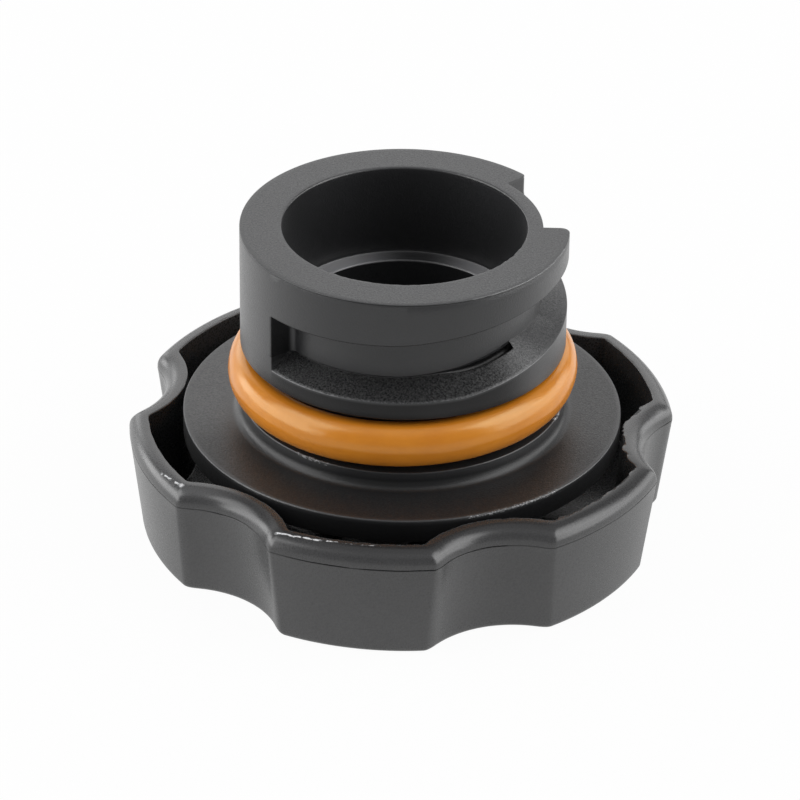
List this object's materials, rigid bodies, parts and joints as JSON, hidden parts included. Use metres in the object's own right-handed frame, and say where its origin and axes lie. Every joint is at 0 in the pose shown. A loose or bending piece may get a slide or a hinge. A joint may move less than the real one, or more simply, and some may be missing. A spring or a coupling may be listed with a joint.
{
  "type": "oil filler cap",
  "caption": "Bayonet oil filler cap with a scalloped grip knob, a hollow neck with a helical cam track, and a rubber sealing ring.",
  "frame": {"origin": "centre of the knob's outer face, which is the face that the cap stands on", "axes": "+Z along the neck, away from the knob's outer face; -Y is the front; the closed end of the cam track lies 52 degrees from -Y towards -X"},
  "size_m": [0.0676, 0.0676, 0.0407],
  "materials": {
    "knob_plastic": "dark grey glass-filled plastic, satin, with a fine grain",
    "plug_plastic": "dark grey glass-filled plastic, satin, smooth on its turned faces and coarse on its ramp",
    "seal_rubber": "orange rubber, slightly glossy"
  },
  "bodies": {
    "root": {"knob": "knob_plastic", "plug": "plug_plastic", "o_ring": "seal_rubber"}
  },
  "joints": []
}
